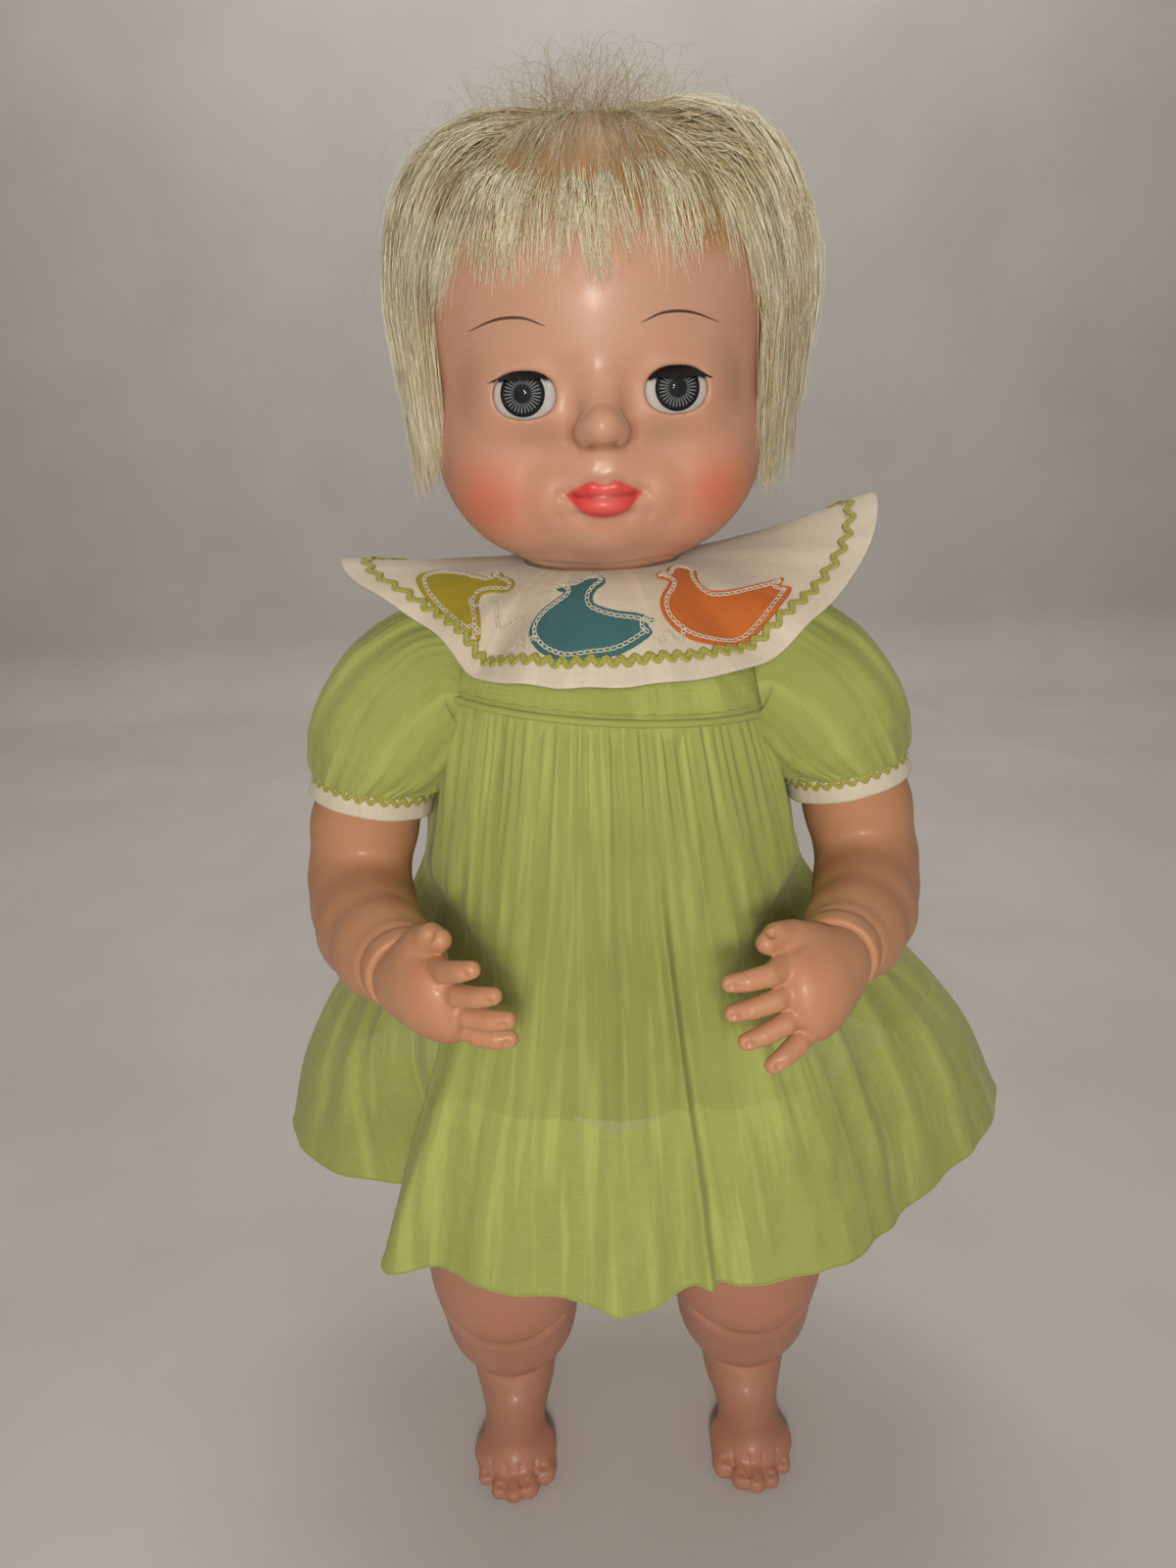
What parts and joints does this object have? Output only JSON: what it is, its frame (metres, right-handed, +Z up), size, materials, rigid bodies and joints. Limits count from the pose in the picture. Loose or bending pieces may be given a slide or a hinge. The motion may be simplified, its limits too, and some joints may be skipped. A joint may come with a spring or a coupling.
{
  "type": "baby doll",
  "caption": "Standing baby doll with jointed arms, hands and legs, sleep eyes, rooted hair and a collared dress; pressing the arms together puckers its mouth.",
  "frame": {"origin": "middle of the footprint on the floor, at the bottom centre of the bounding box", "axes": "+Z up, the doll faces -Y, its left side is +X"},
  "size_m": [0.3, 0.2484, 0.559],
  "materials": {
    "body_plastic": "satin hard plastic",
    "head_vinyl": "soft vinyl, low gloss",
    "limb_vinyl": "soft vinyl, low gloss",
    "hair_fibre": "rooted straight fibre",
    "eye_white": "gloss",
    "iris_plastic": "clear-coated",
    "lid_plastic": "satin",
    "lash_fibre": "stiff brush",
    "casing_plastic": "moulded",
    "dress_batiste": "sheer plain weave",
    "collar_cotton": "plain weave, off-white",
    "rickrack_braid": "woven braid",
    "applique_olive": "cotton",
    "applique_teal": "cotton",
    "applique_orange": "cotton",
    "button_plastic": "gloss",
    "mechanism_plastic": "moulded",
    "frame_steel": "grey zinc paint",
    "bright_steel": "drawn wire",
    "weight_lead": "dull cast",
    "bellows_rubber": "soft",
    "reed_brass": "stamped"
  },
  "bodies": {
    "torso": {"torso_front_shell": "body_plastic", "torso_back_shell": "body_plastic", "shell_screws": "bright_steel", "mechanism_frame": "frame_steel", "shoulder_pins": "bright_steel", "guide_rods": "bright_steel", "return_springs": "bright_steel", "squeaker_bellows": "bellows_rubber", "squeaker_reed": "reed_brass", "bodice": "dress_batiste", "waist_piping": "dress_batiste", "skirt_front": "dress_batiste", "skirt_back": "dress_batiste", "collar": "collar_cotton", "collar_rickrack": "rickrack_braid", "applique_olive": "applique_olive", "applique_teal": "applique_teal", "applique_orange": "applique_orange", "back_buttons": "button_plastic"},
    "head": {"neck_flange": "body_plastic", "head_shell": "head_vinyl", "hair": "hair_fibre", "mouth_guide": "mechanism_plastic", "eye_casing_left": "casing_plastic", "eye_casing_right": "casing_plastic"},
    "eye_left": {"eyeball_left": "eye_white", "iris_left": "iris_plastic", "eyelid_left": "lid_plastic", "lashes_left": "lash_fibre", "eye_weight_left": "weight_lead"},
    "eye_right": {"eyeball_right": "eye_white", "iris_right": "iris_plastic", "eyelid_right": "lid_plastic", "lashes_right": "lash_fibre", "eye_weight_right": "weight_lead"},
    "mouth_slider": {"mouth_slider": "bright_steel"},
    "mouth_crank": {"mouth_crank": "bright_steel"},
    "pull_wire": {"pull_wire": "bright_steel"},
    "body_crank": {"body_crank": "bright_steel"},
    "crosshead": {"crosshead": "mechanism_plastic"},
    "yoke_left": {"yoke_left": "mechanism_plastic", "arm_screw_left": "bright_steel"},
    "yoke_right": {"yoke_right": "mechanism_plastic", "arm_screw_right": "bright_steel"},
    "arm_left": {"arm_left": "limb_vinyl", "sleeve_left": "dress_batiste", "cuff_left": "collar_cotton"},
    "arm_right": {"arm_right": "limb_vinyl", "sleeve_right": "dress_batiste", "cuff_right": "collar_cotton"},
    "hand_left": {"hand_left": "limb_vinyl"},
    "hand_right": {"hand_right": "limb_vinyl"},
    "leg_left": {"leg_left": "limb_vinyl"},
    "leg_right": {"leg_right": "limb_vinyl"}
  },
  "joints": [
    {"name": "arm_press_left", "type": "hinge", "parent": "torso", "child": "yoke_left", "pos_m": [0.064, 0, 0.365], "axis": [0, 0, -1], "range_deg": [0, 12], "stiffness_Nm_per_rad": 0.12},
    {"name": "arm_press_right", "type": "hinge", "parent": "torso", "child": "yoke_right", "pos_m": [-0.064, 0, 0.365], "axis": [0, 0, 1], "range_deg": [0, 12]},
    {"name": "arm_raise_left", "type": "hinge", "parent": "yoke_left", "child": "arm_left", "pos_m": [0.064, 0, 0.365], "axis": [-1, 0, 0], "range_deg": [-18, 55]},
    {"name": "arm_raise_right", "type": "hinge", "parent": "yoke_right", "child": "arm_right", "pos_m": [-0.064, 0, 0.365], "axis": [-1, 0, 0], "range_deg": [-18, 55]},
    {"name": "wrist_swivel_left", "type": "hinge", "parent": "arm_left", "child": "hand_left", "pos_m": [0.07, -0.09, 0.289], "axis": [-0.3507, -0.9353, 0.0468], "continuous": true},
    {"name": "wrist_swivel_right", "type": "hinge", "parent": "arm_right", "child": "hand_right", "pos_m": [-0.07, -0.09, 0.289], "axis": [0.3507, -0.9353, 0.0468], "continuous": true},
    {"name": "hip_left", "type": "hinge", "parent": "torso", "child": "leg_left", "pos_m": [0.04, 0.002, 0.203], "axis": [-0.8829, 0, 0.4695], "range_deg": [-15, 95], "deforming": ["skirt_front"]},
    {"name": "hip_right", "type": "hinge", "parent": "torso", "child": "leg_right", "pos_m": [-0.04, 0.002, 0.203], "axis": [-0.8829, 0, -0.4695], "range_deg": [-15, 95], "deforming": ["skirt_back"]},
    {"name": "head_turn", "type": "hinge", "parent": "torso", "child": "head", "pos_m": [0, 0, 0.393], "axis": [0, 0, 1], "range_deg": [-50, 50]},
    {"name": "eye_rock_left", "type": "hinge", "parent": "head", "child": "eye_left", "pos_m": [0.023, -0.043, 0.466], "axis": [1, 0, 0], "range_deg": [0, 50]},
    {"name": "eye_rock_right", "type": "hinge", "parent": "head", "child": "eye_right", "pos_m": [-0.023, -0.043, 0.466], "axis": [1, 0, 0], "range_deg": [0, 50]},
    {"name": "crosshead_slide", "type": "slide", "parent": "torso", "child": "crosshead", "axis": [0, 1, 0], "range_m": [0, 0.0095], "deforming": ["return_springs", "squeaker_bellows"]},
    {"name": "body_crank_turn", "type": "hinge", "parent": "torso", "child": "body_crank", "pos_m": [0, 0.01, 0.376], "axis": [1, 0, 0], "range_deg": [0, 19.6]},
    {"name": "wire_pull", "type": "slide", "parent": "torso", "child": "pull_wire", "axis": [0, 0, -1], "range_m": [0, 0.0034]},
    {"name": "mouth_crank_turn", "type": "hinge", "parent": "head", "child": "mouth_crank", "pos_m": [0, -0.01, 0.424], "axis": [-1, 0, 0], "range_deg": [0, 19.6]},
    {"name": "mouth_pucker", "type": "slide", "parent": "head", "child": "mouth_slider", "axis": [0, 1, 0], "range_m": [0, 0.0041]}
  ],
  "couplings": [
    {"joint": "arm_press_right", "follows": "arm_press_left", "ratio": 1},
    {"joint": "crosshead_slide", "follows": "arm_press_left", "m_per_rad": 0.044882},
    {"joint": "body_crank_turn", "follows": "arm_press_left", "ratio": 1.625},
    {"joint": "wire_pull", "follows": "arm_press_left", "m_per_rad": 0.0159},
    {"joint": "mouth_crank_turn", "follows": "arm_press_left", "ratio": 1.625},
    {"joint": "mouth_pucker", "follows": "arm_press_left", "m_per_rad": 0.019099}
  ]
}
